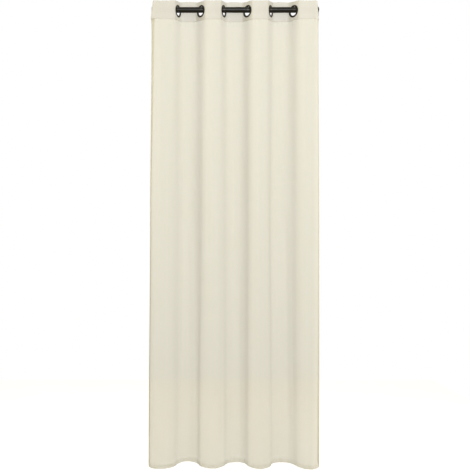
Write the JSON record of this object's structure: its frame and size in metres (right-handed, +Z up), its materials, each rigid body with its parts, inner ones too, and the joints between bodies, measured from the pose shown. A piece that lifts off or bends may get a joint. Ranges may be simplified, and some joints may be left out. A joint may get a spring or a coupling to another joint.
{
  "type": "sheer voile curtain on a rod",
  "caption": "Sheer voile curtain with a doubled header and dark ring eyelets, hanging in soft upright folds from a plain dark round rod.",
  "frame": {"origin": "centre of the rod's left end face, as seen from the room", "axes": "+X along the rod to the right, +Y away from the room, +Z up"},
  "size_m": [0.7934, 0.0914, 2.1465],
  "materials": {
    "voile": "sheer plain-weave ivory voile, matt with a faint sheen",
    "header_voile": "doubled ivory voile, denser and warmer than the panel, matt",
    "rod_metal": "satin black-bronze paint",
    "eyelet_metal": "satin black-bronze, rounded edges"
  },
  "bodies": {
    "root": {"panel": "voile", "header": "header_voile", "rod": "rod_metal", "eyelet_1": "eyelet_metal", "eyelet_2": "eyelet_metal", "eyelet_3": "eyelet_metal", "eyelet_4": "eyelet_metal", "eyelet_5": "eyelet_metal", "eyelet_6": "eyelet_metal", "eyelet_7": "eyelet_metal", "eyelet_8": "eyelet_metal"}
  },
  "joints": []
}
